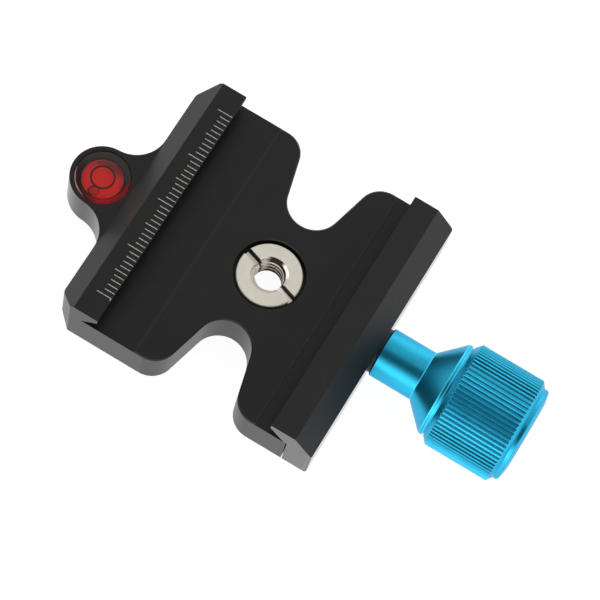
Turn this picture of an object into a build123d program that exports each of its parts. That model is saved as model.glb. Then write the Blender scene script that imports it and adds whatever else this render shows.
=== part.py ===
from build123d import *
import math
import os

# Dovetail quick release clamp with a screw knob, in millimetres.
# The origin is on the axis of the tripod thread, at the underside of the body.
# +X runs from the fixed jaw to the knob, +Y along the jaws and +Z up to the plate.

# Jaws and bed
jaw_length = 49.5
jaw_height = 12.0
dovetail_depth = 3.9
land_step = 0.2
thread_to_fixed_lip = 19.8
closed_lip_width = 34.2
lip_land = 1.1
undercut_angle = 45.0
lip_edge_chamfer = 0.12
fixed_top_width = 4.7
fixed_slope_run = 3.5
moving_top_width = 4.7
moving_slope_run = 3.65
bed_end = 17.75
closed_gap = 0.2
jaw_travel = 6.0
ledge_clearance = 0.1
fixed_corner_chamfer = 2.9
fixed_corner_radius = 1.2
moving_corner_radius = 0.4
plateau_left = -12.2
plateau_right = 11.7
foot_chamfer = 0.3

# Waist cut-outs of the bed
waist_width = 21.6
waist_round = 4.9
waist_flare = 14.0
waist_corner_radius = 4.4
waist_chamfer = 0.25

# Ear with the bullseye level
ear_reach = 5.5
ear_offset = -0.3
ear_radius = 5.8
ear_blend_radius = 6.0
vial_diameter = 10.0
vial_clearance = 0.03
vial_height = 5.4
vial_recess = 0.1
vial_wall = 1.3
vial_lens_thickness = 0.9
vial_dome_rise = 0.4
fluid_depth = 2.0
reflector_thickness = 0.2
ring_diameter = 4.5
ring_width = 0.36
ring_depth = 0.1
vial_rim_chamfer = 0.2

# Tripod thread: a body thread with a flanged reducer bushing in it
body_thread_diameter = 8.0
bushing_barrel_diameter = 8.5
bushing_thread_diameter = 5.1
bushing_length = 4.65
flange_diameter = 11.6
flange_thickness = 1.5
flange_recess = 0.25
flange_edge_chamfer = 0.15
recess_margin = 0.6
recess_chamfer = 0.2
mouth_chamfer = 0.85
slot_width = 1.4
slot_depth = 1.3
slot_angle = -18.0

# Clamp screw
screw_wall = 1.1
screw_drop = 0.35
thread_clearance = 0.05
turning_clearance = 0.08
stud_hold = 3.5
stud_end_clearance = 0.4
stud_end_chamfer = 0.8
stud_in_knob = 12.0
washer_thickness = 0.4
washer_margin = 1.25

# Guide pins and return springs
pin_inset = 7.75
pin_diameter = 3.0
pin_clearance = 0.05
pin_in_jaw = 3.8
pin_hold = 3.4
pin_end_clearance = 0.3
pin_end_chamfer = 0.3
spring_wire = 0.5
spring_turns = 4
spring_turn_sides = 10
spring_wire_sides = 6
spring_pocket_depth = 4.0
spring_clearance = 0.12

# Knob
neck_margin = 1.68
neck_length = 8.3
neck_edge_chamfer = 0.25
cone_length = 4.2
rim_step = 1.125
rim_width = 0.75
rim_groove_width = 0.3
rim_groove_depth = 0.3
knurl_diameter = 19.85
knurl_lead_length = 1.0
knurl_length = 12.1
knurl_teeth = 72
knurl_depth = 0.3
knurl_flat = 0.3
knurl_tail_length = 0.8
end_flange_step = 1.075
end_flange_length = 1.33
end_flange_chamfer = 0.3
end_flange_slope = 0.38
dish_rim = 2.3
dish_depth = 0.5
dish_slope = 0.4

# Places worked out from the sizes
half_length = jaw_length / 2
bed_height = jaw_height - dovetail_depth
fixed_lip = -thread_to_fixed_lip
moving_lip = fixed_lip + closed_lip_width
fixed_top_edge = fixed_lip - fixed_top_width
fixed_wall = fixed_top_edge - fixed_slope_run
moving_top_edge = moving_lip + moving_top_width
moving_wall = moving_top_edge + moving_slope_run
moving_inner = bed_end + closed_gap
lip_bottom = jaw_height - lip_land
land_height = bed_height - land_step
undercut_slope = math.tan(math.radians(undercut_angle))
fixed_root = fixed_lip - (lip_bottom - land_height) / undercut_slope
ledge_height = land_height + ledge_clearance
moving_root = moving_lip + (lip_bottom - ledge_height) / undercut_slope
past = jaw_height + jaw_length


# Clamp body: bed, fixed jaw and ear machined as one piece
waist_centre = waist_width / 2 + waist_round
flare = math.radians(waist_flare)
waist_side_x = waist_round * math.cos(flare)
waist_side_y = waist_centre - waist_round * math.sin(flare)
waist_top_y = half_length + waist_round
waist_top_x = waist_side_x + (waist_top_y - waist_side_y) * math.tan(flare)

ear_x = fixed_wall - ear_reach
blend_x = fixed_wall - ear_blend_radius
blend_span = math.sqrt(
    (ear_radius + ear_blend_radius) ** 2 - (ear_blend_radius - ear_reach) ** 2
)
blend_share = ear_radius / (ear_radius + ear_blend_radius)
tangent_x = ear_x + (blend_x - ear_x) * blend_share
tangent_y = blend_span * blend_share
blend_bow = math.atan2(blend_span, ear_reach - ear_blend_radius) / 2
bow_x = blend_x + ear_blend_radius * math.sin(blend_bow)
bow_y = blend_span - ear_blend_radius * math.cos(blend_bow)

vial_top = bed_height - vial_recess
vial_bottom = vial_top - vial_height
vial_radius = vial_diameter / 2
recess_radius = flange_diameter / 2 + recess_margin
flange_top = bed_height - flange_recess
flange_bottom = flange_top - flange_thickness
bushing_bottom = flange_top - bushing_length

screw_height = bed_height / 2 - screw_drop
stud_diameter = bed_height - 2 * screw_wall
stud_radius = stud_diameter / 2
stud_end = bed_end - jaw_travel - stud_hold
stud_bore_end = stud_end - stud_end_clearance - closed_gap
pin_radius = pin_diameter / 2
pin_end = bed_end - jaw_travel - pin_hold
pin_bore_end = pin_end - pin_end_clearance - closed_gap
spring_radius = pin_radius + spring_clearance + spring_wire / 2
spring_pocket_radius = spring_radius + spring_wire / 2 + spring_clearance
pin_places = {"front": pin_inset - half_length, "rear": half_length - pin_inset}

with BuildPart() as clamp_body:
    # Bed plate with its two waist cut-outs
    with BuildSketch():
        with Locations(((fixed_wall + bed_end) / 2, 0)):
            Rectangle(bed_end - fixed_wall, jaw_length)
    extrude(amount=bed_height)
    with BuildSketch() as waist:
        with Locations((0, waist_centre)):
            Circle(waist_round)
        Polygon(
            (-waist_side_x, waist_side_y),
            (waist_side_x, waist_side_y),
            (waist_top_x, waist_top_y),
            (-waist_top_x, waist_top_y),
            align=None,
        )
        mirror(about=Plane.XZ)
    extrude(amount=bed_height, mode=Mode.SUBTRACT)
    waist_corners = (
        clamp_body.edges()
        .filter_by(Axis.Z)
        .filter_by_position(Axis.X, -waist_top_x, waist_top_x)
        .group_by(lambda edge: round(abs(edge.center().Y), 2))[-1]
    )
    fillet(waist_corners, waist_corner_radius)
    bed_face = clamp_body.faces().sort_by(Axis.Z)[-1]
    side_edges = bed_face.edges().filter_by(Axis.Y, reverse=True)
    chamfer(side_edges, waist_chamfer)

    # Lands beside the jaws lie a little lower than the middle of the bed
    with BuildSketch(Plane.XY.offset(land_height)):
        with Locations(((fixed_wall + plateau_left) / 2, 0)):
            Rectangle(plateau_left - fixed_wall, jaw_length)
        with Locations(((plateau_right + bed_end) / 2, 0)):
            Rectangle(bed_end - plateau_right, jaw_length)
    extrude(amount=land_step, mode=Mode.SUBTRACT)

    # Fixed jaw with its dovetail lip
    with BuildSketch(Plane.XZ) as fixed_profile:
        with BuildLine():
            Polyline(
                (fixed_wall, 0),
                (fixed_root, 0),
                (fixed_root, land_height),
                (fixed_lip, lip_bottom),
                (fixed_lip, jaw_height),
                (fixed_top_edge, jaw_height),
                (fixed_wall, bed_height),
                close=True,
            )
        make_face()
        lip_corner = fixed_profile.vertices().group_by(Axis.X)[-1].sort_by(Axis.Y)[-1]
        chamfer(lip_corner, lip_edge_chamfer)
    extrude(amount=half_length, both=True)
    outer_corners = clamp_body.edges().filter_by(Axis.Z).group_by(Axis.X)[0]
    chamfer(outer_corners, fixed_corner_chamfer)
    wall_corners = clamp_body.edges().filter_by(Axis.Z).group_by(Axis.X)[0]
    fillet(wall_corners, fixed_corner_radius)

    # Ear, blended into the wall on both sides
    with BuildSketch(Plane((0, ear_offset, 0))):
        with BuildLine():
            Line((fixed_root, blend_span), (fixed_wall, blend_span))
            ThreePointArc((fixed_wall, blend_span), (bow_x, bow_y), (tangent_x, tangent_y))
            ThreePointArc(
                (tangent_x, tangent_y), (ear_x - ear_radius, 0), (tangent_x, -tangent_y)
            )
            ThreePointArc((tangent_x, -tangent_y), (bow_x, -bow_y), (fixed_wall, -blend_span))
            Line((fixed_wall, -blend_span), (fixed_root, -blend_span))
            Line((fixed_root, -blend_span), (fixed_root, blend_span))
        make_face()
    extrude(amount=bed_height)
    with BuildSketch(Plane.XY.offset(vial_bottom)):
        with Locations((ear_x, ear_offset)):
            Circle(vial_radius + vial_clearance)
    extrude(amount=past, mode=Mode.SUBTRACT)

    # Recess and thread for the reducer bushing
    with BuildSketch(Plane.XY.offset(flange_bottom)):
        Circle(recess_radius)
    extrude(amount=past, mode=Mode.SUBTRACT)
    recess_edge = (
        clamp_body.edges()
        .filter_by(GeomType.CIRCLE)
        .filter_by(lambda edge: abs(edge.radius - recess_radius) < closed_gap)
        .sort_by(Axis.Z)[-1]
    )
    chamfer(recess_edge, recess_chamfer)
    with BuildSketch():
        Circle(body_thread_diameter / 2)
    extrude(amount=bed_height, mode=Mode.SUBTRACT)
    with BuildSketch(Plane.XY.offset(bushing_bottom)):
        Circle(bushing_barrel_diameter / 2)
    extrude(amount=bushing_length, mode=Mode.SUBTRACT)

    # Screw bore, guide bores and spring pockets open at the bed's end
    with BuildSketch(Plane.YZ.offset(stud_bore_end)):
        with Locations((0, screw_height)):
            Circle(stud_radius + thread_clearance)
    extrude(amount=past, mode=Mode.SUBTRACT)
    with BuildSketch(Plane.YZ.offset(pin_bore_end)):
        with Locations(*[(place, screw_height) for place in pin_places.values()]):
            Circle(pin_radius + pin_clearance)
    extrude(amount=past, mode=Mode.SUBTRACT)
    with BuildSketch(Plane.YZ.offset(bed_end - spring_pocket_depth)):
        with Locations(*[(place, screw_height) for place in pin_places.values()]):
            Circle(spring_pocket_radius)
    extrude(amount=past, mode=Mode.SUBTRACT)
clamp_body.part.label = "clamp_body"


# Moving jaw: a bar with the second dovetail lip
with BuildPart() as moving_jaw:
    with BuildSketch(Plane.XZ) as moving_profile:
        with BuildLine():
            Polyline(
                (moving_inner, 0),
                (moving_wall, 0),
                (moving_wall, bed_height),
                (moving_top_edge, jaw_height),
                (moving_lip, jaw_height),
                (moving_lip, lip_bottom),
                (moving_root, ledge_height),
                (moving_inner, ledge_height),
                close=True,
            )
        make_face()
        lip_corner = moving_profile.vertices().group_by(Axis.X)[0].sort_by(Axis.Y)[-1]
        chamfer(lip_corner, lip_edge_chamfer)
        foot_corner = moving_profile.vertices().group_by(Axis.Y)[0].sort_by(Axis.X)[-1]
        chamfer(foot_corner, foot_chamfer)
    extrude(amount=half_length, both=True)
    wall_corners = moving_jaw.edges().filter_by(Axis.Z).group_by(Axis.X)[-1]
    fillet(wall_corners, moving_corner_radius)
    with BuildSketch(Plane.YZ.offset(moving_inner)):
        with Locations((0, screw_height)):
            Circle(stud_radius + turning_clearance)
    extrude(amount=moving_wall - moving_inner, mode=Mode.SUBTRACT)
    with BuildSketch(Plane.YZ.offset(moving_inner)):
        with Locations(*[(place, screw_height) for place in pin_places.values()]):
            Circle(pin_radius)
    extrude(amount=pin_in_jaw, mode=Mode.SUBTRACT)
moving_jaw.part.label = "moving_jaw"


# Knob: turned in one piece, with straight knurling
neck_start = moving_wall + washer_thickness
cone_start = neck_start + neck_length
rim_start = cone_start + cone_length
rim_end = rim_start + rim_width
lead_start = rim_end + rim_groove_width
knurl_start = lead_start + knurl_lead_length
knurl_end = knurl_start + knurl_length
flange_start = knurl_end + knurl_tail_length
knob_end = flange_start + end_flange_length
neck_radius = stud_radius + neck_margin
knurl_radius = knurl_diameter / 2
rim_radius = knurl_radius - rim_step
end_flange_radius = knurl_radius - end_flange_step
dish_radius = end_flange_radius - dish_rim
stud_tip = neck_start + stud_in_knob
groove_mouth = math.pi * knurl_diameter / knurl_teeth - knurl_flat

with BuildPart() as knob:
    with BuildSketch(Plane((0, 0, screw_height), (1, 0, 0), (0, -1, 0))):
        with BuildLine():
            Polyline(
                (stud_tip, 0),
                (knob_end - dish_depth, 0),
                (knob_end - dish_depth, dish_radius - dish_slope),
                (knob_end, dish_radius),
                (knob_end - end_flange_slope, end_flange_radius - end_flange_chamfer),
                (knob_end - end_flange_slope - end_flange_chamfer, end_flange_radius),
                (flange_start, end_flange_radius),
                (knurl_end, knurl_radius),
                (knurl_start, knurl_radius),
                (lead_start, rim_radius),
                (lead_start, rim_radius - rim_groove_depth),
                (rim_end, rim_radius - rim_groove_depth),
                (rim_end, rim_radius),
                (rim_start, rim_radius),
                (cone_start, neck_radius),
                (neck_start + neck_edge_chamfer, neck_radius),
                (neck_start, neck_radius - neck_edge_chamfer),
                (neck_start, stud_radius),
                (stud_tip, stud_radius),
                close=True,
            )
        make_face()
    revolve(axis=Axis((0, 0, screw_height), (1, 0, 0)))
    with BuildSketch(Plane.YZ.offset(lead_start)):
        with Locations((0, screw_height)):
            with PolarLocations(knurl_radius, knurl_teeth):
                Polygon(
                    (-knurl_depth, 0),
                    (knurl_depth, groove_mouth),
                    (knurl_depth, -groove_mouth),
                    align=None,
                )
    extrude(amount=flange_start - lead_start, mode=Mode.SUBTRACT)
knob.part.label = "knob"


# Clamp stud, fixed in the knob
with BuildPart() as clamp_stud:
    with BuildSketch(Plane.YZ.offset(stud_end)):
        with Locations((0, screw_height)):
            Circle(stud_radius)
    extrude(amount=stud_tip - stud_end)
    chamfer(clamp_stud.faces().sort_by(Axis.X)[0].edges(), stud_end_chamfer)
clamp_stud.part.label = "clamp_stud"


# Thrust washer between the neck and the jaw
with BuildPart() as thrust_washer:
    with BuildSketch(Plane.YZ.offset(moving_wall)):
        with Locations((0, screw_height)):
            Circle(stud_radius + washer_margin)
            Circle(stud_radius + turning_clearance, mode=Mode.SUBTRACT)
    extrude(amount=washer_thickness)
thrust_washer.part.label = "thrust_washer"


# Guide pins, pressed into the moving jaw, with a return spring on each.
# A spring is hidden in its pocket, so its coil has few sides.
spring_start = bed_end - spring_pocket_depth + spring_wire / 2
spring_pitch = (spring_pocket_depth + closed_gap - spring_wire) / spring_turns
guides = []
for side, place in pin_places.items():
    with BuildPart() as guide_pin:
        with BuildSketch(Plane.YZ.offset(pin_end)):
            with Locations((place, screw_height)):
                Circle(pin_radius)
        extrude(amount=moving_inner + pin_in_jaw - pin_end)
        chamfer(guide_pin.faces().sort_by(Axis.X)[0].edges(), pin_end_chamfer)
    guide_pin.part.label = "guide_pin_" + side
    guides.append(guide_pin.part)

    coil_points = []
    for side_number in range(spring_turns * spring_turn_sides + 1):
        turn = 2 * math.pi * side_number / spring_turn_sides
        coil_x = spring_start + spring_pitch * side_number / spring_turn_sides
        coil_y = place + spring_radius * math.cos(turn)
        coil_z = screw_height + spring_radius * math.sin(turn)
        coil_points.append((coil_x, coil_y, coil_z))
    with BuildPart() as return_spring:
        with BuildLine() as coil:
            Polyline(*coil_points)
        with BuildSketch(Plane(coil.line @ 0, z_dir=coil.line % 0)):
            RegularPolygon(spring_wire / 2, spring_wire_sides)
        sweep(transition=Transition.RIGHT)
    return_spring.part.label = "return_spring_" + side
    guides.append(return_spring.part)


# Reducer bushing: flange with a driver slot, threaded inside and outside
with BuildPart() as reducer_bushing:
    with BuildSketch(Plane.XY.offset(bushing_bottom)):
        Circle(bushing_barrel_diameter / 2)
    extrude(amount=bushing_length - flange_thickness)
    with BuildSketch(Plane.XY.offset(flange_bottom)):
        Circle(flange_diameter / 2)
    extrude(amount=flange_thickness)
    chamfer(reducer_bushing.faces().sort_by(Axis.Z)[-1].edges(), flange_edge_chamfer)
    with BuildSketch(Plane.XY.offset(bushing_bottom)):
        Circle(bushing_thread_diameter / 2)
    extrude(amount=bushing_length, mode=Mode.SUBTRACT)
    mouth_edge = reducer_bushing.faces().sort_by(Axis.Z)[-1].edges().sort_by(SortBy.LENGTH)[0]
    chamfer(mouth_edge, mouth_chamfer)
    with BuildSketch(Plane.XY.offset(flange_top)):
        Rectangle(flange_diameter + slot_width, slot_width, rotation=slot_angle)
    extrude(amount=-slot_depth, mode=Mode.SUBTRACT)
reducer_bushing.part.label = "reducer_bushing"


# Bullseye level: a capsule closed below by a base, with a red disc under the fluid
chamber_radius = vial_radius - vial_wall
dome_top = vial_top - vial_lens_thickness
dome_edge = dome_top - vial_dome_rise
fluid_bottom = dome_top - fluid_depth
reflector_bottom = fluid_bottom - reflector_thickness
dome_radius = (chamber_radius**2 + vial_dome_rise**2) / (2 * vial_dome_rise)
dome_half_turn = math.asin(chamber_radius / dome_radius) / 2
dome_bow_x = dome_radius * math.sin(dome_half_turn)
dome_bow_z = dome_top - dome_radius * (1 - math.cos(dome_half_turn))
level_axis = Axis((ear_x, ear_offset, 0), (0, 0, 1))
level_plane = Plane((ear_x, ear_offset, 0), (1, 0, 0), (0, -1, 0))
ring_outer = ring_diameter / 2

with BuildPart() as vial_capsule:
    with BuildSketch(level_plane):
        with BuildLine():
            Polyline(
                (0, dome_top),
                (0, vial_top),
                (vial_radius - vial_rim_chamfer, vial_top),
                (vial_radius, vial_top - vial_rim_chamfer),
                (vial_radius, vial_bottom),
                (chamber_radius, vial_bottom),
                (chamber_radius, dome_edge),
            )
            ThreePointArc(
                (chamber_radius, dome_edge),
                (dome_bow_x, dome_bow_z),
                (0, dome_top),
            )
        make_face()
    revolve(axis=level_axis)
    with BuildSketch(Plane.XY.offset(vial_top)):
        with Locations((ear_x, ear_offset)):
            Circle(ring_outer)
            Circle(ring_outer - ring_width, mode=Mode.SUBTRACT)
    extrude(amount=-ring_depth, mode=Mode.SUBTRACT)
vial_capsule.part.label = "vial_capsule"

with BuildPart() as vial_ring:
    with BuildSketch(Plane.XY.offset(vial_top)):
        with Locations((ear_x, ear_offset)):
            Circle(ring_outer)
            Circle(ring_outer - ring_width, mode=Mode.SUBTRACT)
    extrude(amount=-ring_depth)
vial_ring.part.label = "vial_ring"

with BuildPart() as vial_fluid:
    with BuildSketch(level_plane):
        with BuildLine():
            Polyline(
                (0, dome_top),
                (0, fluid_bottom),
                (chamber_radius, fluid_bottom),
                (chamber_radius, dome_edge),
            )
            ThreePointArc(
                (chamber_radius, dome_edge),
                (dome_bow_x, dome_bow_z),
                (0, dome_top),
            )
        make_face()
    revolve(axis=level_axis)
vial_fluid.part.label = "vial_fluid"

with BuildPart() as vial_reflector:
    with BuildSketch(Plane.XY.offset(reflector_bottom)):
        with Locations((ear_x, ear_offset)):
            Circle(chamber_radius)
    extrude(amount=reflector_thickness)
vial_reflector.part.label = "vial_reflector"

with BuildPart() as vial_base:
    with BuildSketch(Plane.XY.offset(vial_bottom)):
        with Locations((ear_x, ear_offset)):
            Circle(chamber_radius)
    extrude(amount=reflector_bottom - vial_bottom)
vial_base.part.label = "vial_base"


# Every piece goes to its own file
os.makedirs("parts", exist_ok=True)
pieces = [
    clamp_body.part,
    moving_jaw.part,
    knob.part,
    clamp_stud.part,
    thrust_washer.part,
    *guides,
    reducer_bushing.part,
    vial_capsule.part,
    vial_ring.part,
    vial_fluid.part,
    vial_reflector.part,
    vial_base.part,
]
for piece in pieces:
    export_step(piece, "parts/" + piece.label + ".step")
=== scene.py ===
import math

import bmesh
import bpy
from mathutils import Matrix, Vector


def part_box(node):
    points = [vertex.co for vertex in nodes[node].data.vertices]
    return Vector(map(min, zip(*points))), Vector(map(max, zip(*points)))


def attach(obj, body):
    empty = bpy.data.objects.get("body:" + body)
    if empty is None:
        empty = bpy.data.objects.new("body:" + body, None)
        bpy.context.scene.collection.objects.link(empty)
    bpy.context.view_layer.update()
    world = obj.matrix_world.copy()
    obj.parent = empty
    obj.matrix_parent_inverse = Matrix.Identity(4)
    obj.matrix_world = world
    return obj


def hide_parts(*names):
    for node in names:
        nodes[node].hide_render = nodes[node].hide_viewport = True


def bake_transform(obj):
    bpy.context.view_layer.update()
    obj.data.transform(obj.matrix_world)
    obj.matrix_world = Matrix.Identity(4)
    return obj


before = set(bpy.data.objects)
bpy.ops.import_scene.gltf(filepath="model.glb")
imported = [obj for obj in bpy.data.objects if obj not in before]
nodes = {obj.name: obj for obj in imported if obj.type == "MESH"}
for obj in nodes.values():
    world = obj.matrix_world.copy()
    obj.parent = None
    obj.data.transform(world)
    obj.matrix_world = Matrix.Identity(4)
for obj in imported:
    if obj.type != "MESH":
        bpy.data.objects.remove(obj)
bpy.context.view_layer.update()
mm = 0.001
black = (0, 0, 0, 1)
white = (1, 1, 1, 1)


# Shader sockets that add, multiply and compare like numbers
class Wire:
    def __init__(self, tree, socket):
        self.tree = tree
        self.socket = socket

    def node(self, kind, settings=None, inputs=None, output=0):
        made = self.tree.nodes.new("ShaderNode" + kind)
        for name, value in (settings or {}).items():
            setattr(made, name, value)
        for name, value in (inputs or {}).items():
            self.feed(made.inputs[name], value)
        return Wire(self.tree, made.outputs[output])

    def feed(self, slot, value):
        if isinstance(value, Wire):
            self.tree.links.new(value.socket, slot)
        else:
            slot.default_value = value

    def math(self, operation, *values):
        return self.node("Math", {"operation": operation}, dict(enumerate(values)))

    def __add__(self, other):
        return self.math("ADD", self, other)

    def __radd__(self, other):
        return self.math("ADD", other, self)

    def __sub__(self, other):
        return self.math("SUBTRACT", self, other)

    def __rsub__(self, other):
        return self.math("SUBTRACT", other, self)

    def __mul__(self, other):
        return self.math("MULTIPLY", self, other)

    def __rmul__(self, other):
        return self.math("MULTIPLY", other, self)

    def __truediv__(self, other):
        return self.math("DIVIDE", self, other)

    def __gt__(self, other):
        return self.math("GREATER_THAN", self, other)

    def __lt__(self, other):
        return self.math("LESS_THAN", self, other)

    def __abs__(self):
        return self.math("ABSOLUTE", self)

    def root(self):
        return self.math("SQRT", self)

    def ramp(self, low, high, outLow=0.0, outHigh=1.0):
        limits = {1: low, 2: high, 3: outLow, 4: outHigh}
        return self.node("MapRange", {"interpolation_type": "SMOOTHSTEP"}, {0: self, **limits})

    def noise(self, scale, detail=2.0, roughness=0.5):
        inputs = {"Vector": self, "Scale": scale, "Detail": detail, "Roughness": roughness}
        return self.node("TexNoise", {}, inputs)

    def parts(self):
        split = self.tree.nodes.new("ShaderNodeSeparateXYZ")
        self.feed(split.inputs[0], self)
        return [Wire(self.tree, output) for output in split.outputs]

    def vector(self, x, y, z):
        return self.node("CombineXYZ", {}, {0: x, 1: y, 2: z})

    def steepness(self, low, high):
        normal = self.node("TexCoord", output=1)
        return (1.0 - abs(normal.parts()[2])).ramp(low, high)

    def specks(self, scale, size, sparse):
        cells = {"Vector": self, "Scale": scale}
        near = self.node("TexVoronoi", {}, cells) < size
        chance = self.node("TexVoronoi", {}, cells, output=1).parts()[0]
        return near * (chance > sparse)

    def between(self, colorA, colorB):
        mixed = self.tree.nodes.new("ShaderNodeMix")
        mixed.data_type = "RGBA"
        self.feed(mixed.inputs[0], self)
        self.feed(mixed.inputs[6], colorA)
        self.feed(mixed.inputs[7], colorB)
        return Wire(self.tree, mixed.outputs[2])

    def bump(self, distance, strength=1.0, normal=None):
        inputs = {"Height": self, "Distance": distance, "Strength": strength}
        if normal:
            inputs["Normal"] = normal
        return self.node("Bump", {}, inputs)


# A principled material with its plain values set on its sockets, and the place on the object in mm
def newMaterial(name, **values):
    made = bpy.data.materials.new(name)
    made.use_nodes = True
    shader = made.node_tree.nodes["Principled BSDF"]
    for key, value in values.items():
        shader.inputs[key].default_value = value
    coords = made.node_tree.nodes.new("ShaderNodeTexCoord")
    place = Wire(made.node_tree, coords.outputs["Object"])
    return made, shader, place.node("VectorMath", {"operation": "SCALE"}, {0: place, 3: 1 / mm})


def dress(node, material):
    nodes[node].data.materials.clear()
    nodes[node].data.materials.append(material)


def grey(level):
    return (level, level, level, 1)


def dimmed(color, share):
    return tuple(share * c for c in color) + (1,)


# How far a rounded edge's normal leaves the face's own, which is 0 away from edges
def edgeMask(place, radius, low, high):
    rounded = place.node("Bevel", {"samples": 6}, {"Radius": radius})
    flat = place.node("NewGeometry", output=3)
    dot = place.node("VectorMath", {"operation": "DOT_PRODUCT"}, {0: rounded, 1: flat}, output=1)
    return (1.0 - dot).ramp(low, high), rounded


# Place beside an upright axis, and the distance from it
def fromAxis(place, axisX, axisY):
    x, y = place.parts()[:2]
    x, y = x - axisX, y - axisY
    return x, y, (x * x + y * y).root()


# Cosine between the way out from an upright axis and an angle round it
def towards(x, y, radius, angle):
    return (x * math.cos(math.radians(angle)) + y * math.sin(math.radians(angle))) / radius


# Finished mesh as an object in the scene
def newObject(name, mesh):
    data = bpy.data.meshes.new(name)
    mesh.to_mesh(data)
    mesh.free()
    made = bpy.data.objects.new(name, data)
    bpy.context.collection.objects.link(made)
    return made


def inMm(corners):
    return [Vector(corner) / mm for corner in corners]


# Anodised aluminium, blasted before it was coloured
anodised = {
    "colorDeep": (0.0052, 0.0052, 0.0044, 1),
    "colorPale": (0.0068, 0.0068, 0.0058, 1),
    "cloud": 0.16,
    "cloudRange": (0.35, 0.65),
    "cloudRoughness": 0.04,
    "grain": 5.0,
    "grainRoughness": 0.10,
    "grainHeight": 0.006 * mm,
    "grainStrength": 0.6,
    "edgeColor": (0.5, 0.5, 0.48, 1),
    "edgeRadius": 0.1 * mm,
    "edgeRange": (0.02, 0.2),
    "scuff": 1.3,
    "scuffRange": (0.52, 0.72),
    "plainWearAndHighlight": 0.01,
    "scuffWearAndHighlight": 0.05,
    "endWearAndHighlight": 0.8,
    "jawEndsFrom": 24.2,
    "jawTopsAbove": 10.5,
    "lipEdgeFrom": 14.2,
    "lipEdgeTo": 14.62,
    "wallSteepness": (0.7, 0.9),
    "wallRoughness": 0.36,
    "jawWallFrom": 22.0,
    "jawWallRoughness": 0.12,
    "earRoughness": 0.22,
    "earFrom": -26.0,
    "earTo": -31.0,
    "steps": (-12.2, 11.7),
    "stepHighlightColor": (0.015, 0.015, 0.014, 1),
    "stepRange": (0.1, 0.4),
    "stepLow": 7.5,
    "stepHigh": 8.2,
    "dustColor": (0.06, 0.058, 0.052, 1),
    "dustScale": 0.32,
    "dustSize": 0.035,
    "dustSparse": 0.7,
    "jawEnd": 24.74,
    "threadRadius": 4.3,
    "threadPitch": 1.5875,
    "threadHeight": 0.35 * mm,
}
blackParts = {
    "clamp_body": {"name": "bodyAnodised", "roughness": 0.42, "edgeWearAndHighlight": 0.5, "paintedEndLight": 0.02, "gloss": 0.38},
    "moving_jaw": {"name": "jawAnodised", "roughness": 0.40, "edgeWearAndHighlight": 0.6, "paintedEndLight": 0.11, "gloss": 0.45},
}


def anodisedBlack(name, roughness, edgeWearAndHighlight, paintedEndLight, gloss):
    material, shader, place = newMaterial(name, **{"Specular IOR Level": gloss})
    look = anodised
    x, y, z = place.parts()
    grain = place.noise(look["grain"], 3.0)
    cloud = place.noise(look["cloud"], 3.0)
    color = cloud.ramp(*look["cloudRange"]).between(look["colorDeep"], look["colorPale"])
    # Painted light: the end faces of both jaws are painted a paler grey, the moving jaw's most
    color = (abs(y) > look["jawEnd"]).between(color, grey(paintedEndLight))
    # Painted highlight: a soft paler line along each of the bed's two steps
    for step in look["steps"]:
        line = (1.0 - abs(x - step).ramp(*look["stepRange"])) * (z > look["stepLow"]) * (z < look["stepHigh"])
        color = line.between(color, look["stepHighlightColor"])
    # Paler edges, partly wear and partly painted highlight, strongest on the tops at the ends of the jaws
    edge = edgeMask(place, look["edgeRadius"], *look["edgeRange"])[0]
    scuff = place.noise(look["scuff"], 4.0).ramp(*look["scuffRange"])
    jawEnds = (abs(y) > look["jawEndsFrom"]) * (z > look["jawTopsAbove"])
    wornAndLitEdges = look["plainWearAndHighlight"] + look["scuffWearAndHighlight"] * scuff + look["endWearAndHighlight"] * jawEnds
    color = (edge * wornAndLitEdges * edgeWearAndHighlight).between(color, look["edgeColor"])
    dust = place.specks(look["dustScale"], look["dustSize"], look["dustSparse"])
    place.feed(shader.inputs["Base Color"], dust.between(color, look["dustColor"]))

    # Upright faces shine more than the blasted tops
    plain = roughness + look["grainRoughness"] * (grain - 0.5) + look["cloudRoughness"] * (cloud - 0.5)
    wall = place.steepness(*look["wallSteepness"])
    upright = x.ramp(look["earTo"], look["earFrom"], look["earRoughness"], look["wallRoughness"])
    upright = upright + (x > look["jawWallFrom"]) * (look["jawWallRoughness"] - upright)
    place.feed(shader.inputs["Roughness"], plain + wall * (upright - plain))

    around = x.math("ARCTAN2", y, x) / (2 * math.pi)
    ridges = z.math("PINGPONG", z / look["threadPitch"] - around, 0.5)
    inBore = (x * x + y * y) < look["threadRadius"] ** 2
    fine = grain.bump(look["grainHeight"], look["grainStrength"])
    cutThread = (ridges * inBore).bump(look["threadHeight"], 1.0, fine)
    # The moving jaw's sharp lip catches no light of its own
    lipEdge = (x > look["lipEdgeFrom"]) * (x < look["lipEdgeTo"]) * (z > look["jawTopsAbove"])
    place.feed(shader.inputs["Normal"], (lipEdge * (1.0 - wall)).between(cutThread, (0, 0, 1, 1)))
    return material


for blackPart, blackValues in blackParts.items():
    dress(blackPart, anodisedBlack(**blackValues))
print("black anodising done")


# Blue anodised knob, with fine turning marks round its axis
knobLook = {
    "color": (0.02, 0.51, 0.78, 1),
    "colorDeep": (0.016, 0.455, 0.71, 1),
    "cloud": 0.35,
    "cloudRange": (0.3, 0.7),
    "edgeColor": (0.25, 0.88, 1.0, 1),
    "edgeRadius": 0.1 * mm,
    "edgeRange": (0.03, 0.3),
    "edgeHighlightShare": 0.7,
    "grazing": (0.4, 0.6, 0.75, 1),
    "coat": 0.35,
    "coatRoughness": 0.3,
    "roughness": 0.33,
    "marksRoughness": 0.12,
    "marks": 6.0,
    "markHeight": 0.002 * mm,
    "markStrength": 0.5,
    "lineAt": (8.3, 12.6, 13.15),
    "lineRange": (0.04, 0.1),
    "lineHighlightGlow": (0.05, 0.35, 0.5, 1),
}


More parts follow.
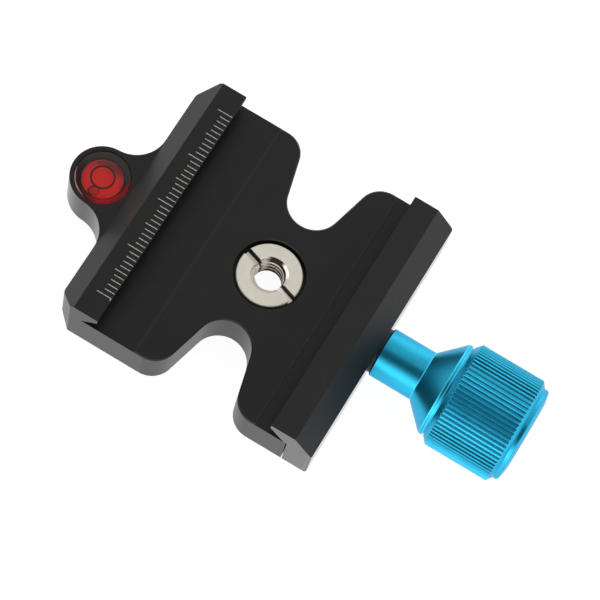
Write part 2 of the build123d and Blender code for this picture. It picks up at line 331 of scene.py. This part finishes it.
def anodisedBlue():
    look = knobLook
    values = {"Metallic": 1.0, "Emission Strength": 1.0, "Specular Tint": look["grazing"],
              "Coat Weight": look["coat"], "Coat Roughness": look["coatRoughness"]}
    material, shader, place = newMaterial("knobAnodised", **values)
    x = place.parts()[0]
    marks = place.vector(x * look["marks"], 0.0, 0.0).noise(1.0, 3.0, 0.7)
    cloud = place.noise(look["cloud"], 2.0)
    edge, rounded = edgeMask(place, look["edgeRadius"], *look["edgeRange"])
    base = cloud.ramp(*look["cloudRange"]).between(look["colorDeep"], look["color"])
    # Painted highlight: the knob's edges are painted a paler cyan
    place.feed(shader.inputs["Base Color"], (edge * look["edgeHighlightShare"]).between(base, look["edgeColor"]))
    place.feed(shader.inputs["Roughness"], look["roughness"] + look["marksRoughness"] * (marks - 0.5))
    # Painted highlights: thin glowing lines on the turned edges
    line = 0.0
    for at in look["lineAt"]:
        aside = x - (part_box("knob")[0].x / mm + at)
        line = line + (1.0 - abs(aside).ramp(*look["lineRange"]))
    place.feed(shader.inputs["Emission Color"], line.between(black, look["lineHighlightGlow"]))
    place.feed(shader.inputs["Normal"], marks.bump(look["markHeight"], look["markStrength"], rounded))
    return material


dress("knob", anodisedBlue())
print("knob done")


# Plain bright steels, with the marks of how each was made
steels = {
    "pinSteel": {"color": (0.55, 0.55, 0.56), "roughness": 0.22, "marks": (0.6, 5.0, 5.0), "height": 0.002 * mm},
    "springSteel": {"color": (0.42, 0.42, 0.43), "roughness": 0.3, "marks": (3.0, 3.0, 3.0), "height": 0.003 * mm},
    "studSteel": {"color": (0.5, 0.49, 0.47), "roughness": 0.3, "marks": (2.0, 2.0, 2.0), "height": 0.003 * mm},
}
allSteels = {"deepShare": 0.82, "toneRange": (0.3, 0.7), "spread": 0.15, "markStrength": 0.6}


def steel(name):
    look = steels[name]
    material, shader, place = newMaterial(name, Metallic=1.0)
    stretched = [part * scale for part, scale in zip(place.parts(), look["marks"])]
    marks = place.vector(*stretched).noise(1.0, 3.0)
    deep, full = dimmed(look["color"], allSteels["deepShare"]), dimmed(look["color"], 1.0)
    place.feed(shader.inputs["Base Color"], marks.ramp(*allSteels["toneRange"]).between(deep, full))
    place.feed(shader.inputs["Roughness"], look["roughness"] + allSteels["spread"] * (marks - 0.5))
    place.feed(shader.inputs["Normal"], marks.bump(look["height"], allSteels["markStrength"]))
    return material


pinSteel = steel("pinSteel")
springSteel = steel("springSteel")
studSteel = steel("studSteel")
dress("guide_pin_front", pinSteel)
dress("guide_pin_rear", pinSteel)


# Plastics and print, a little uneven in tone and gloss
mottledLooks = {
    "washerNylon": {"scale": 4.0, "detail": 2.0, "dark": grey(0.01), "pale": grey(0.03), "roughness": 0.45,
                    "gloss": 0.4},
    "vialBasePlastic": {"scale": 0.9, "detail": 3.0, "dark": (0.25, 0.015, 0.012, 1), "pale": (0.36, 0.025, 0.02, 1),
                        "roughness": 0.5, "gloss": 0.5},
    "vialPrint": {"scale": 5.0, "detail": 2.0, "dark": (0.015, 0.001, 0.002, 1), "pale": (0.04, 0.003, 0.005, 1),
                  "roughness": 0.5, "gloss": 0.5},
    "vialRed": {"scale": 0.7, "detail": 4.0, "dark": (0.74, 0.03, 0.025, 1), "pale": (0.95, 0.055, 0.045, 1),
                "roughness": 0.35, "gloss": 0.5},
}
mottledSpread = 0.2
nylonHeight = 0.004 * mm


def mottled(name):
    look = mottledLooks[name]
    material, shader, place = newMaterial(name, **{"Specular IOR Level": look["gloss"]})
    mottle = place.noise(look["scale"], look["detail"])
    place.feed(shader.inputs["Base Color"], mottle.between(look["dark"], look["pale"]))
    place.feed(shader.inputs["Roughness"], look["roughness"] + mottledSpread * (mottle - 0.5))
    return material, shader, place, mottle


def nylon():
    material, shader, place, speck = mottled("washerNylon")
    place.feed(shader.inputs["Normal"], speck.bump(nylonHeight, 0.5))
    return material


dress("thrust_washer", nylon())


weldDistance = 0.0005 * mm


# A grid wrapped round an axis: place(turn, share) gives each vertex, with turn and share from 0 to 1
def wrappedGrid(name, around, along, place, closeProfile):
    mesh = bmesh.new()
    bmesh.ops.create_grid(mesh, x_segments=around, y_segments=along, size=0.5)
    for vertex in mesh.verts:
        vertex.co = Vector(place(vertex.co.x + 0.5, vertex.co.y + 0.5))
    bmesh.ops.remove_doubles(mesh, verts=mesh.verts, dist=weldDistance)
    if not closeProfile:
        bmesh.ops.holes_fill(mesh, edges=[edge for edge in mesh.edges if edge.is_boundary])
    bmesh.ops.recalc_face_normals(mesh, faces=mesh.faces)
    return newObject(name, mesh)


def smooth(piece, angle):
    for face in piece.data.polygons:
        face.use_smooth = True
    piece.data.set_sharp_from_angle(angle=math.radians(angle))


threadShape = {"steep": 1.3, "flat": 0.15}


# Height of a rounded thread form at one place of its pitch, from 0 in the root to 1 on the crest
def threadForm(turns):
    across = abs((turns % 1.0) * 2 - 1)
    return min(1.0, max(0.0, across * threadShape["steep"] - threadShape["flat"]))


# Clamp stud with its thread
studBox = inMm(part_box("clamp_stud"))
stud = {
    "pitch": 1.0,
    "crest": (studBox[1].z - studBox[0].z) / 2,
    "depth": 0.6,
    "threadEnd": 22.0,
    "endTaper": 0.9,
    "around": 48,
    "alongPitch": 8,
    "sharpFrom": 50,
}


def studPlace(turn, share):
    x = studBox[0].x + share * (studBox[1].x - studBox[0].x)
    axisZ = (studBox[0].z + studBox[1].z) / 2
    form = threadForm(x / stud["pitch"] - turn)
    if x > stud["threadEnd"]:
        form = 1.0
    radius = stud["crest"] - stud["depth"] * (1 - form)
    radius = min(radius, stud["crest"] - stud["endTaper"] + (x - studBox[0].x))
    angle = 2 * math.pi * turn
    return (x * mm, radius * math.cos(angle) * mm, (axisZ + radius * math.sin(angle)) * mm)


studRows = int((studBox[1].x - studBox[0].x) / stud["pitch"] * stud["alongPitch"])
threadedStud = wrappedGrid("threadedStud", stud["around"], studRows, studPlace, False)
smooth(threadedStud, stud["sharpFrom"])
threadedStud.data.materials.append(studSteel)
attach(threadedStud, "screw")
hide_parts("clamp_stud")
print("stud done")


# Reducer bushing with both threads and its driver slot
bushBox = inMm(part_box("reducer_bushing"))
bush = {
    "pitch": 1.27,
    "boreRadius": 2.55,
    "boreDepth": 0.6,
    "boreRows": 60,
    "mouthRadius": 3.4,
    "mouthDrop": 0.7,
    "barrelRadius": 4.25,
    "barrelRows": 24,
    "outerPitch": 1.5875,
    "outerDepth": 0.25,
    "flangeThick": 1.5,
    "flangeChamfer": 0.15,
    "slotWidth": 1.4,
    "slotDepth": 1.3,
    "slotReach": 8.0,
    "slotAbove": 1.0,
    "slotAngle": -18.0,
    "around": 96,
    "sharpFrom": 35,
    "smoothInside": 0.1,
}


def bushingProfile():
    low, high = bushBox[0].z, bushBox[1].z
    flange = (bushBox[1].x - bushBox[0].x) / 2
    under = high - bush["flangeThick"]
    corners = [
        ("plain", bush["mouthRadius"], high),
        ("plain", flange - bush["flangeChamfer"], high),
        ("plain", flange, high - bush["flangeChamfer"]),
        ("plain", flange, under),
        ("plain", bush["barrelRadius"], under),
    ]
    for row in range(1, bush["barrelRows"]):
        corners.append(("outer", bush["barrelRadius"], under + (low - under) * row / bush["barrelRows"]))
    corners.append(("plain", bush["barrelRadius"], low))
    corners.append(("plain", bush["boreRadius"], low))
    for row in range(1, bush["boreRows"]):
        corners.append(("inner", bush["boreRadius"], low + (high - low) * row / bush["boreRows"]))
    corners.append(corners[0])
    return corners


bushCorners = bushingProfile()


def bushingPlace(turn, share):
    kind, radius, z = bushCorners[round(share * (len(bushCorners) - 1))]
    if kind == "inner":
        flare = (bush["mouthRadius"] - bush["boreRadius"]) * (1 - (bushBox[1].z - z) / bush["mouthDrop"])
        radius += max(flare, bush["boreDepth"] * (1 - threadForm(z / bush["pitch"] - turn)))
    if kind == "outer":
        radius -= bush["outerDepth"] * (1 - threadForm(z / bush["outerPitch"] - turn))
    angle = 2 * math.pi * turn
    return (radius * math.cos(angle) * mm, radius * math.sin(angle) * mm, z * mm)


# Cuts one piece with another and keeps the result as plain mesh
def cutWith(piece, cutter):
    cut = piece.modifiers.new("cut", "BOOLEAN")
    cut.operation = "DIFFERENCE"
    cut.solver = "EXACT"
    cut.object = cutter
    graph = bpy.context.evaluated_depsgraph_get()
    result = bpy.data.meshes.new_from_object(piece.evaluated_get(graph))
    piece.modifiers.clear()
    piece.data = result
    bpy.data.objects.remove(cutter)


def boxPiece(name, low, high, turn):
    mesh = bmesh.new()
    bmesh.ops.create_cube(mesh, size=1.0)
    size = Vector(high) - Vector(low)
    middle = (Vector(high) + Vector(low)) / 2
    bmesh.ops.scale(mesh, vec=size * mm, verts=mesh.verts)
    bmesh.ops.translate(mesh, vec=middle * mm, verts=mesh.verts)
    bmesh.ops.rotate(mesh, matrix=Matrix.Rotation(math.radians(turn), 3, "Z"), verts=mesh.verts)
    return newObject(name, mesh)


bushing = wrappedGrid("bushing", bush["around"], len(bushCorners) - 1, bushingPlace, True)
slotLow = (-bush["slotReach"], -bush["slotWidth"] / 2, bushBox[1].z - bush["slotDepth"])
slotHigh = (bush["slotReach"], bush["slotWidth"] / 2, bushBox[1].z + bush["slotAbove"])
cutWith(bushing, boxPiece("slotCutter", slotLow, slotHigh, bush["slotAngle"]))
smooth(bushing, bush["sharpFrom"])
# The thread itself shades smoothly
threadTop = bushBox[1].z - bush["mouthDrop"]
threadRadius = bush["mouthRadius"] - bush["smoothInside"]
for bushEdge in bushing.data.edges:
    edgeEnds = [bushing.data.vertices[index].co / mm for index in bushEdge.vertices]
    if all(math.hypot(end.x, end.y) < threadRadius and end.z < threadTop for end in edgeEnds):
        bushEdge.use_edge_sharp = False


nickelLook = {
    "color": (0.96, 0.92, 0.81, 1),
    "colorDeep": (0.91, 0.83, 0.72, 1),
    "cloud": 0.5,
    "rings": 7.0,
    "ringsDown": 2.0,
    "ringShare": 0.4,
    "toneRange": (0.3, 0.7),
    "edgeColor": (1.0, 0.97, 0.9, 1),
    "edgeRadius": 0.08 * mm,
    "edgeRange": (0.03, 0.3),
    "edgeHighlightShare": 0.6,
    "metallic": 0.4,
    "roughness": 0.36,
    "boreGloss": 0.12,
    "ringRoughness": 0.2,
    "ringHeight": 0.004 * mm,
    "crestColor": (1.0, 0.94, 0.84, 1),
    "shadeColor": (0.03, 0.02, 0.018, 1),
    "litRoot": (0.62, 0.56, 0.5, 1),
    "grooveRange": (0.03, 0.18),
    "boreMargin": 0.03,
    "litAngle": 190.0,
    "litRange": (0.2, 0.6),
    "wedgeAngle": 95.0,
    "wedgeRange": (0.82, 0.94),
    "shineAngle": 47.0,
    "shineRange": (0.86, 0.98),
    "shine": (0.45, 0.42, 0.38, 1),
    "slotMargin": 0.02,
    "slotFloorBelow": 0.6,
    "slotShadeRange": (0.2, 0.5),
    "slotGlow": (0.2, 0.18, 0.15, 1),
    "wallSteepness": (0.5, 0.8),
    "rimWidth": 0.3,
    "rimShine": (0.3, 0.29, 0.28, 1),
}


def nickel():
    look = nickelLook
    material, shader, place = newMaterial("bushingNickel", **{"Emission Strength": 1.0})
    x, y, radius = fromAxis(place, 0.0, 0.0)
    z = place.parts()[2]
    rings = place.vector(radius * look["rings"], 0.0, z * look["ringsDown"]).noise(1.0, 3.0, 0.7)
    cloud = place.noise(look["cloud"], 2.0)
    edge, rounded = edgeMask(place, look["edgeRadius"], *look["edgeRange"])
    tone = cloud * (1.0 - look["ringShare"]) + rings * look["ringShare"]
    base = tone.ramp(*look["toneRange"]).between(look["colorDeep"], look["color"])
    # Painted highlight: the edges are painted paler
    lifted = (edge * look["edgeHighlightShare"]).between(base, look["edgeColor"])

    # The driver slot: painted shade on its walls and far side, painted light and a faint painted glow on its floor
    deep = bushBox[1].z - z
    across = towards(x, y, 1.0, bush["slotAngle"] + 90.0)
    inSlot = (abs(across) < bush["slotWidth"] / 2 + look["slotMargin"]) * (deep > look["slotMargin"])
    steep = place.steepness(*look["wallSteepness"])
    lowInSlot = (1.0 - steep) * inSlot * (deep > look["slotFloorBelow"])
    farSide = across.ramp(*look["slotShadeRange"])
    slotFloor = lowInSlot * (1.0 - farSide)
    flat = (steep * inSlot + lowInSlot * farSide).between(lifted, look["shadeColor"])

    # The bore's own cone, and how deep the thread's groove goes below it
    slope = (bush["mouthRadius"] - bush["boreRadius"]) / bush["mouthDrop"]
    cone = deep.math("MAXIMUM", bush["mouthRadius"] - deep * slope, bush["boreRadius"])
    nearMouth = deep < bush["mouthDrop"]
    inBore = (radius < bush["mouthRadius"] - look["boreMargin"]) * (deep > look["boreMargin"]) * (1.0 - inSlot)
    # Painted shade: the thread's roots and a wedge on one side of the mouth are painted dark, the roots on the lit
    # side paler
    groove = (radius - cone).ramp(*look["grooveRange"])
    wedge = towards(x, y, radius, look["wedgeAngle"]).ramp(*look["wedgeRange"]) * nearMouth
    darkPart = groove + wedge * (1.0 - groove)
    lit = towards(x, y, radius, look["litAngle"]).ramp(*look["litRange"])
    thread = darkPart.between(look["crestColor"], lit.between(look["shadeColor"], look["litRoot"]))
    color = inBore.between(slotFloor.between(flat, look["edgeColor"]), thread)
    place.feed(shader.inputs["Base Color"], color)
    metallic = look["metallic"] * (1.0 - slotFloor)
    place.feed(shader.inputs["Metallic"], metallic + (1.0 - metallic) * (inBore * darkPart))
    ringed = look["ringRoughness"] * (rings - 0.5) * (1.0 - inBore)
    place.feed(shader.inputs["Roughness"], look["roughness"] - look["boreGloss"] * inBore + ringed)

    # Painted highlights, given as glow: a bright arc on one side inside the mouth and a pale line round the flange's
    # rim
    shine = towards(x, y, radius, look["shineAngle"]).ramp(*look["shineRange"])
    shine = shine * (inBore * nearMouth * (1.0 - groove))
    rimEdge = edge * (radius > bushBox[1].x - look["rimWidth"]) * (deep < look["rimWidth"])
    glow = rimEdge.between(slotFloor.between(black, look["slotGlow"]), look["rimShine"])
    place.feed(shader.inputs["Emission Color"], shine.between(glow, look["shine"]))
    place.feed(shader.inputs["Normal"], rings.bump(look["ringHeight"], 0.6, rounded))
    return material


bushing.data.materials.clear()
bushing.data.materials.append(nickel())
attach(bushing, "base")
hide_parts("reducer_bushing")
print("bushing done")


# Engraved scale on the fixed jaw: 40 divisions of 1 mm, up to the lip's edge
scaleMarks = {
    "lip": -19.8,
    "edgeGap": 0.12,
    "first": -20.0,
    "count": 41,
    "width": 0.13,
    "long": 2.85,
    "middle": 2.35,
    "short": 1.9,
    "hook": 0.4,
    "proud": 0.004,
    "sunk": 0.01,
    "dark": grey(0.3),
    "pale": (0.7, 0.7, 0.68, 1),
    "broken": 3.0,
    "brokenRange": (0.3, 0.6),
    "roughness": 0.5,
    "spread": 0.2,
}


def markLength(index):
    if index % 10 == 0:
        return scaleMarks["long"]
    if index % 5 == 0:
        return scaleMarks["middle"]
    return scaleMarks["short"]


def engravedScale():
    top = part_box("clamp_body")[1].z / mm
    mesh = bmesh.new()
    end = scaleMarks["lip"] - scaleMarks["edgeGap"]
    width = scaleMarks["width"]
    depth = scaleMarks["proud"] + scaleMarks["sunk"]
    height = top + scaleMarks["proud"] - depth / 2
    bars = []
    for index in range(scaleMarks["count"]):
        length = markLength(index)
        bars.append(((end - length / 2, scaleMarks["first"] + index, height), (length, width, depth)))
    # The tool left a small hook at the end of the first mark
    hookY = scaleMarks["first"] - (width + scaleMarks["hook"]) / 2
    bars.append(((end - width / 2, hookY, height), (width, scaleMarks["hook"], depth)))
    for middle, size in bars:
        made = bmesh.ops.create_cube(mesh, size=1.0)
        bmesh.ops.scale(mesh, vec=Vector(size) * mm, verts=made["verts"])
        bmesh.ops.translate(mesh, vec=Vector(middle) * mm, verts=made["verts"])
    return newObject("scaleMarks", mesh)


def etched():
    material, shader, place = newMaterial("etchedMarks")
    broken = place.noise(scaleMarks["broken"], 3.0).ramp(*scaleMarks["brokenRange"])
    place.feed(shader.inputs["Base Color"], broken.between(scaleMarks["dark"], scaleMarks["pale"]))
    place.feed(shader.inputs["Roughness"], scaleMarks["roughness"] + scaleMarks["spread"] * broken)
    return material


ticks = engravedScale()
ticks.data.materials.append(etched())
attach(ticks, "base")
print("scale done")


# Return springs as wire coils
springs = {"wire": 0.25, "radius": 1.87, "turns": 5.0, "around": 10, "perTurn": 24, "sharpFrom": 60}


def coilPiece(name, node):
    low, high = inMm(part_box(node))
    middle = (low + high) / 2
    wire = springs["wire"]
    start, end = low.x + wire, high.x - wire

    def place(turn, share):
        angle = 2 * math.pi * springs["turns"] * share
        out = Vector((0, math.cos(angle), math.sin(angle)))
        centre = Vector((start + (end - start) * share, middle.y, middle.z)) + out * springs["radius"]
        spin = 2 * math.pi * turn
        return (centre + (out * math.cos(spin) + Vector((1, 0, 0)) * math.sin(spin)) * wire) * mm

    rows = int(springs["turns"] * springs["perTurn"])
    made = wrappedGrid(name, springs["around"], rows, place, False)
    smooth(made, springs["sharpFrom"])
    made.data.materials.append(springSteel)
    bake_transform(made)
    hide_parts(node)


coilPiece("coilFront", "return_spring_front")
coilPiece("coilRear", "return_spring_rear")
print("springs done")


# Bullseye level: tinted capsule, dark print, fluid, bubble and red disc
vial = {
    "x": -33.5,
    "y": -0.3,
    "fluidGap": 0.01,
    "domeRise": 0.4,
    "domeSteps": 8,
    "around": 96,
    "sharpFrom": 40,
    "surfaceShine": (0.5, 0.45, 0.45, 1),
    "mottle": 1.2,
    "mottleShare": 0.9,
    "mottleRoughness": 0.04,
    "rimRange": (4.0, 4.4),
    "rimAngle": -38.0,
    "rimTurn": (0.3, 0.85),
    "rimPaintedGlow": (0.11, 0.001, 0.001, 1),
    "hazeRange": (3.3, 3.9),
    "hazeAngle": 95.0,
    "hazeTurn": (0.0, 0.5),
    "hazePaintedGlow": (0.008, 0.009, 0.0085, 1),
    "sparkFrom": 4.72,
    "sparkTo": 4.9,
    "sparkAngle": -140.0,
    "sparkTurn": (0.8, 0.97),
    "sparkPaintedHighlight": (0.3, 0.16, 0.18, 1),
    "discPaintedGlow": (0.38, 0.009, 0.007, 1),
    "discEdgeShare": 0.45,
    "discMiddle": (2.6, 3.7),
    "discFar": (1.6, 3.4),
}
glasses = {
    "vialAcrylic": {"color": (0.95, 0.5, 0.47), "roughness": 0.03, "transmission": 0.985, "ior": 1.49},
    "vialFluid": {"color": (0.98, 0.7, 0.68), "roughness": 0.0, "transmission": 1.0, "ior": 1.45},
}


# The fluid leaves a hair's breadth to the walls, so that light bends once at each
def fluidPiece():
    low, high = inMm(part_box("vial_fluid"))
    gap = vial["fluidGap"]
    radius = (high.x - low.x) / 2 - gap
    mesh = bmesh.new()
    profile = [(0.0, high.z - gap)]
    for step in range(1, vial["domeSteps"] + 1):
        share = step / vial["domeSteps"]
        profile.append((radius * share, high.z - gap - vial["domeRise"] * share * share))
    profile += [(radius, low.z + gap), (0.0, low.z + gap)]
    corners = [mesh.verts.new(Vector((vial["x"] + across, vial["y"], z)) * mm) for across, z in profile]
    edges = [mesh.edges.new(pair) for pair in zip(corners, corners[1:])]
    bmesh.ops.spin(mesh, geom=corners + edges, cent=Vector((vial["x"], vial["y"], 0)) * mm, axis=(0, 0, 1),
                   angle=2 * math.pi, steps=vial["around"], use_merge=True)
    bmesh.ops.remove_doubles(mesh, verts=mesh.verts, dist=weldDistance)
    bmesh.ops.recalc_face_normals(mesh, faces=mesh.faces)
    made = newObject("levelFluid", mesh)
    smooth(made, vial["sharpFrom"])
    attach(made, "base")
    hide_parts("vial_fluid")
    return made


def tinted(name):
    look = glasses[name]
    values = {"Transmission Weight": look["transmission"], "IOR": look["ior"], "Specular Tint": vial["surfaceShine"]}
    material, shader, place = newMaterial(name, **values)
    mottle = place.noise(vial["mottle"], 3.0)
    deep, full = dimmed(look["color"], vial["mottleShare"]), dimmed(look["color"], 1.0)
    place.feed(shader.inputs["Base Color"], mottle.between(deep, full))
    place.feed(shader.inputs["Roughness"], look["roughness"] + vial["mottleRoughness"] * mottle)
    return material, shader, place


def redDisc():
    material, shader, place = mottled("vialRed")[:3]
    shader.inputs["Emission Strength"].default_value = 1.0
    # Painted light: the red disc glows, most in its middle, with painted shade towards its far edge
    y, radius = fromAxis(place, vial["x"], vial["y"])[1:]
    middle = 1.0 - radius.ramp(*vial["discMiddle"])
    far = 1.0 - y.ramp(*vial["discFar"])
    lit = (vial["discEdgeShare"] + (1.0 - vial["discEdgeShare"]) * middle) * far
    place.feed(shader.inputs["Emission Color"], lit.between(black, vial["discPaintedGlow"]))
    return material


# Painted light on the capsule: a red glow low on one side of its rim, a faint painted haze, and a painted pale
# highlight on the rim
def acrylic():
    material, shader, place = tinted("vialAcrylic")
    shader.inputs["Emission Strength"].default_value = 1.0
    x, y, radius = fromAxis(place, vial["x"], vial["y"])

    def turned(part):
        return towards(x, y, radius, vial[part + "Angle"]).ramp(*vial[part + "Turn"])

    glow = (radius.ramp(*vial["hazeRange"]) * turned("haze")).between(black, vial["hazePaintedGlow"])
    glow = (radius.ramp(*vial["rimRange"]) * turned("rim")).between(glow, vial["rimPaintedGlow"])
    spark = (radius > vial["sparkFrom"]) * (radius < vial["sparkTo"]) * turned("spark")
    place.feed(shader.inputs["Emission Color"], spark.between(glow, vial["sparkPaintedHighlight"]))
    return material


dress("vial_capsule", acrylic())
fluid = fluidPiece()
fluid.data.materials.append(tinted("vialFluid")[0])
dress("vial_reflector", redDisc())
dress("vial_base", mottled("vialBasePlastic")[0])
dress("vial_ring", mottled("vialPrint")[0])


bubble = {
    "x": -0.2,
    "y": -2.65,
    "radius": 1.0,
    "height": 0.35,
    "drop": 0.75,
    "around": 32,
    "rings": 16,
    "ior": 0.69,
    "dark": (0.9, 0.5, 0.45, 1),
    "pale": (1.0, 0.7, 0.65, 1),
    "outlineShadeColor": (0.08, 0.01, 0.01, 1),
    "outlineRange": (0.55, 0.9),
    "outlineAngle": 200.0,
    "outlineTurn": (-0.3, 0.5),
    "sharpFrom": 60,
}


def bubblePiece():
    top = inMm(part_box("vial_fluid"))[1]
    centre = Vector((vial["x"] + bubble["x"], vial["y"] + bubble["y"], top.z - bubble["drop"]))
    mesh = bmesh.new()
    bmesh.ops.create_uvsphere(mesh, u_segments=bubble["around"], v_segments=bubble["rings"],
                              radius=bubble["radius"] * mm)
    bmesh.ops.scale(mesh, vec=(1, 1, bubble["height"] / bubble["radius"]), verts=mesh.verts)
    bmesh.ops.translate(mesh, vec=centre * mm, verts=mesh.verts)
    made = newObject("levelBubble", mesh)
    smooth(made, bubble["sharpFrom"])
    material, shader, place = newMaterial("bubbleAir", **{"Transmission Weight": 1.0, "IOR": bubble["ior"]})
    air = place.noise(1.0, 2.0).between(bubble["dark"], bubble["pale"])
    x, y, radius = fromAxis(place, centre.x, centre.y)
    # Painted shade: a dark outline along one side of the bubble
    turned = towards(x, y, radius, bubble["outlineAngle"]).ramp(*bubble["outlineTurn"])
    outline = radius.ramp(*bubble["outlineRange"]) * turned
    place.feed(shader.inputs["Base Color"], outline.between(air, bubble["outlineShadeColor"]))
    made.data.materials.append(material)
    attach(made, "base")


bubblePiece()
print("level done")


# Floor under the clamp, which leans on its knob and on the ear's foot
stage = {
    "footX": -39.3,
    "knobX": 37.7,
    "knobBottom": -6.15,
    "drop": 0.02,
    "reach": 3000.0,
    "color": grey(0.25),
    "roughness": 0.9,
    "glow": 0.93,
}


def floorPiece():
    mesh = bmesh.new()
    bmesh.ops.create_grid(mesh, x_segments=1, y_segments=1, size=stage["reach"] * mm)
    fall = stage["knobBottom"] / (stage["knobX"] - stage["footX"])
    for vertex in mesh.verts:
        vertex.co.z = fall * (vertex.co.x - stage["footX"] * mm) - stage["drop"] * mm
    made = newObject("floor", mesh)
    values = {"Roughness": stage["roughness"], "Base Color": stage["color"], "Emission Color": white,
              "Emission Strength": stage["glow"]}
    made.data.materials.append(newMaterial("floorPaper", **values)[0])


floorPiece()


# Studio: white walls, a grey ceiling, the dark place of the photographer and a soft box low in front
studio = {
    "horizon": 1.0,
    "ceiling": 0.6,
    "wallTop": 0.15,
    "ceilingFrom": 0.7,
    "photographer": (0.05, -0.5, 0.865),
    "photographerReach": (0.8, 0.92),
    "photographerShade": 0.92,
    "softBox": (0.1, -0.97, 0.2),
    "softBoxReach": (0.75, 0.95),
    "softBoxLight": 1.0,
    "backBox": (-0.5, 0.8, 0.33),
    "backBoxReach": (0.7, 0.95),
    "backBoxLight": 0.5,
}


def studioWorld():
    world = bpy.data.worlds.new("studio")
    world.use_nodes = True
    bpy.context.scene.world = world
    tree = world.node_tree
    tree.nodes.clear()
    coords = tree.nodes.new("ShaderNodeTexCoord")
    direction = Wire(tree, coords.outputs["Generated"])

    def near(thing):
        inputs = {0: direction, 1: Vector(studio[thing]).normalized()}
        facing = direction.node("VectorMath", {"operation": "DOT_PRODUCT"}, inputs, output=1)
        return facing.ramp(*studio[thing + "Reach"])

    z = direction.parts()[2]
    walls = z.ramp(studio["wallTop"], studio["ceilingFrom"], studio["horizon"], studio["ceiling"])
    shade = near("photographer") * studio["photographerShade"]
    frontBox = near("softBox") * studio["softBoxLight"]
    backBox = near("backBox") * studio["backBoxLight"]
    level = walls * (1.0 - shade) + frontBox + backBox
    background = level.node("Background", {}, {"Color": white, "Strength": level})
    output = tree.nodes.new("ShaderNodeOutputWorld")
    tree.links.new(background.socket, output.inputs[0])


studioWorld()

# The photograph's camera
view = {
    "place": (0.045254, -0.178805, 0.468403),
    "target": (0.006450, 0.000354, 0.004),
    "roll": 19.3475,
    "lens": 173.07,
    "sensor": 36.0,
    "clipStart": 0.01,
}
cameraData = bpy.data.cameras.new("camera")
cameraData.lens = view["lens"]
cameraData.sensor_width = view["sensor"]
cameraData.clip_start = view["clipStart"]
camera = bpy.data.objects.new("camera", cameraData)
bpy.context.collection.objects.link(camera)
camera.location = view["place"]
aim = (Vector(view["target"]) - Vector(view["place"])).to_track_quat("-Z", "Y")
camera.rotation_euler = (aim.to_matrix() @ Matrix.Rotation(math.radians(view["roll"]), 3, "Z")).to_euler()
bpy.context.scene.camera = camera
bpy.context.scene.view_settings.view_transform = "Standard"
